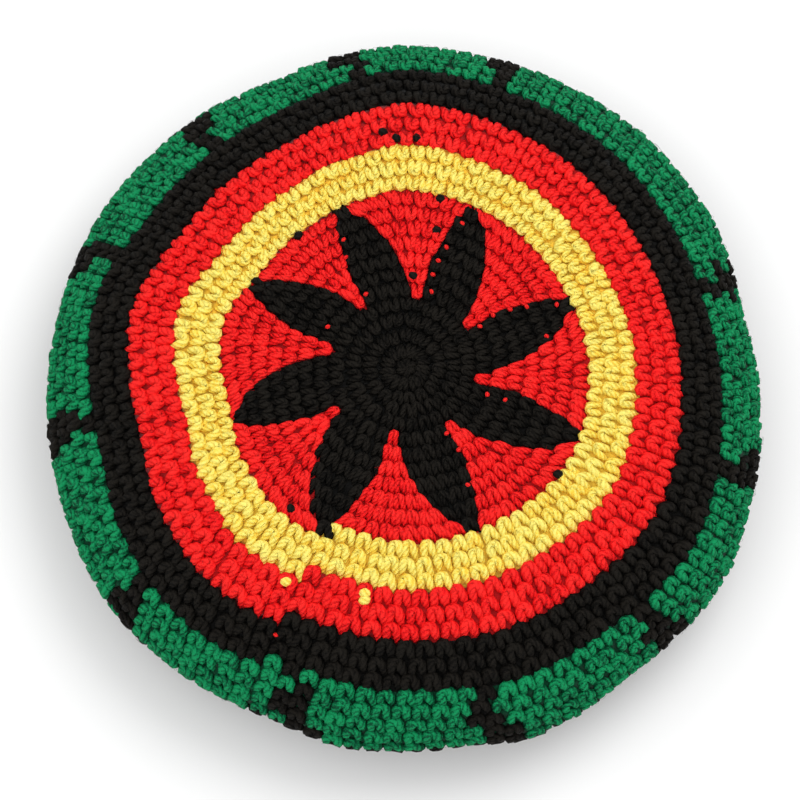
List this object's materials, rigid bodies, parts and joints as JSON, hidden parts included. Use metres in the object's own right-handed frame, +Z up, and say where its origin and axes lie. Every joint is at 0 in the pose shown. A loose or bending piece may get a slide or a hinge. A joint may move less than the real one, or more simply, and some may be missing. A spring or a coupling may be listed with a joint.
{
  "type": "rasta tam",
  "caption": "Wide round crocheted cap with a black star on a red crown, yellow, red and black rings, a green block rim and a drawn-in black headband.",
  "frame": {"origin": "centre of the footprint at the level of the surface that the cap lies on", "axes": "+Z up through the crown, +Y to the top of the picture, +X to its right"},
  "size_m": [0.2898, 0.2966, 0.078],
  "materials": {
    "black_yarn": "crocheted acrylic yarn, black",
    "red_yarn": "crocheted acrylic yarn, red",
    "yellow_yarn": "crocheted acrylic yarn, yellow",
    "green_yarn": "crocheted acrylic yarn, green"
  },
  "bodies": {
    "root": {"black_star": "black_yarn", "red_wedge_1": "red_yarn", "red_wedge_2": "red_yarn", "red_wedge_3": "red_yarn", "red_wedge_4": "red_yarn", "red_wedge_5": "red_yarn", "red_wedge_6": "red_yarn", "red_wedge_7": "red_yarn", "red_wedge_8": "red_yarn", "yellow_band": "yellow_yarn", "red_band": "red_yarn", "black_band": "black_yarn", "green_block_01": "green_yarn", "green_block_02": "green_yarn", "green_block_03": "green_yarn", "green_block_04": "green_yarn", "green_block_05": "green_yarn", "green_block_06": "green_yarn", "green_block_07": "green_yarn", "green_block_08": "green_yarn", "green_block_09": "green_yarn", "green_block_10": "green_yarn", "green_block_11": "green_yarn", "underside": "black_yarn", "headband": "black_yarn"}
  },
  "joints": []
}
